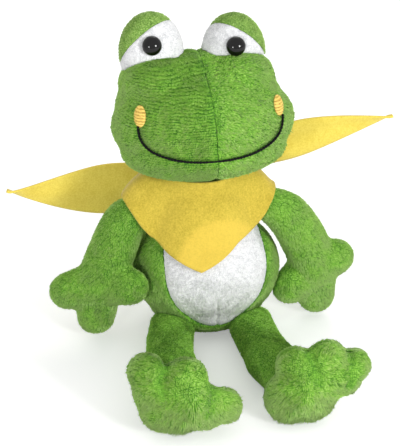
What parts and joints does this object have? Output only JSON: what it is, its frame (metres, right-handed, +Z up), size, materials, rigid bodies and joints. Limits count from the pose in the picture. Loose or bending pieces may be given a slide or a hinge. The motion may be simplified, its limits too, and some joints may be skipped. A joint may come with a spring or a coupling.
{
  "type": "plush frog",
  "caption": "Seated plush frog with a wide stitched smile, raised round eyes, white belly and a knotted felt bandana; head, limbs and feet turn at sewn joints.",
  "frame": {"origin": "centre of the flat face under the seat, on the surface that the toy sits on", "axes": "+Z up, -Y towards the front of the toy, +X towards the toy's own left"},
  "size_m": [0.1712, 0.1219, 0.1403],
  "materials": {
    "green_plush": "short-pile plush, combed",
    "white_plush": "short-pile plush",
    "fibre": "loose polyester filling",
    "canvas": "plain woven bag of pellets",
    "yellow_felt": "matt pressed felt",
    "dot_satin": "satin-stitched dot",
    "black_thread": "twisted sewing cord",
    "black_plastic": "polished",
    "washer_plastic": "natural moulded"
  },
  "bodies": {
    "torso": {"torso_skin": "green_plush", "belly_panel": "white_plush", "torso_stuffing": "fibre", "bean_bag": "canvas", "bandana_front": "yellow_felt", "bandana_knot": "yellow_felt"},
    "neck": {"neck_thread": "black_thread"},
    "head": {"head_skin_left": "green_plush", "head_skin_right": "green_plush", "head_stuffing": "fibre", "eyelid_left": "green_plush", "eyelid_right": "green_plush", "eye_white_left": "white_plush", "eye_white_right": "white_plush", "eye_stuffing_left": "fibre", "eye_stuffing_right": "fibre", "safety_eye_left": "black_plastic", "safety_eye_right": "black_plastic", "eye_washer_left": "washer_plastic", "eye_washer_right": "washer_plastic", "smile_stitching": "black_thread", "cheek_dot_left": "dot_satin", "cheek_dot_right": "dot_satin"},
    "arm_left": {"arm_skin_left": "green_plush", "arm_stuffing_left": "fibre"},
    "arm_right": {"arm_skin_right": "green_plush", "arm_stuffing_right": "fibre"},
    "leg_left": {"leg_skin_left": "green_plush", "leg_stuffing_left": "fibre"},
    "leg_right": {"leg_skin_right": "green_plush", "leg_stuffing_right": "fibre"},
    "foot_left": {"foot_top_left": "green_plush", "foot_sole_left": "green_plush", "foot_stuffing_left": "fibre"},
    "foot_right": {"foot_top_right": "green_plush", "foot_sole_right": "green_plush", "foot_stuffing_right": "fibre"},
    "tail_left": {"bandana_tail_left": "yellow_felt"},
    "tail_right": {"bandana_tail_right": "yellow_felt"}
  },
  "joints": [
    {"name": "neck_turn", "type": "hinge", "parent": "torso", "child": "neck", "pos_m": [-0.0036, 0.004, 0.077], "axis": [0, 0, 1], "range_deg": [-30, 30]},
    {"name": "neck_nod", "type": "hinge", "parent": "neck", "child": "head", "pos_m": [-0.0036, 0.004, 0.077], "axis": [-1, 0, 0], "range_deg": [-2, 15]},
    {"name": "shoulder_left", "type": "hinge", "parent": "torso", "child": "arm_left", "pos_m": [0.0235, 0.001, 0.057], "axis": [-0.8628, 0.1991, 0.4646], "range_deg": [-20, 60]},
    {"name": "shoulder_right", "type": "hinge", "parent": "torso", "child": "arm_right", "pos_m": [-0.0235, 0.001, 0.057], "axis": [-0.8913, -0.2377, -0.3862], "range_deg": [-3, 60]},
    {"name": "hip_left", "type": "hinge", "parent": "torso", "child": "leg_left", "pos_m": [0.0165, -0.015, 0.0072], "axis": [-1, 0, 0], "range_deg": [-45, 6]},
    {"name": "hip_right", "type": "hinge", "parent": "torso", "child": "leg_right", "pos_m": [-0.0165, -0.015, 0.0072], "axis": [-1, 0, 0], "range_deg": [-45, 6]},
    {"name": "ankle_left", "type": "hinge", "parent": "leg_left", "child": "foot_left", "pos_m": [0.0271, -0.06853, 0.01091], "axis": [-1, 0, 0], "range_deg": [-15, 15]},
    {"name": "ankle_right", "type": "hinge", "parent": "leg_right", "child": "foot_right", "pos_m": [-0.02048, -0.07277, 0.01303], "axis": [-1, 0, 0], "range_deg": [-15, 15]},
    {"name": "tail_flap_left", "type": "hinge", "parent": "torso", "child": "tail_left", "pos_m": [0, 0.0258, 0.06], "axis": [0, -1, 0], "range_deg": [-25, 15]},
    {"name": "tail_flap_right", "type": "hinge", "parent": "torso", "child": "tail_right", "pos_m": [0, 0.0258, 0.06], "axis": [0, 1, 0], "range_deg": [-25, 15]}
  ]
}
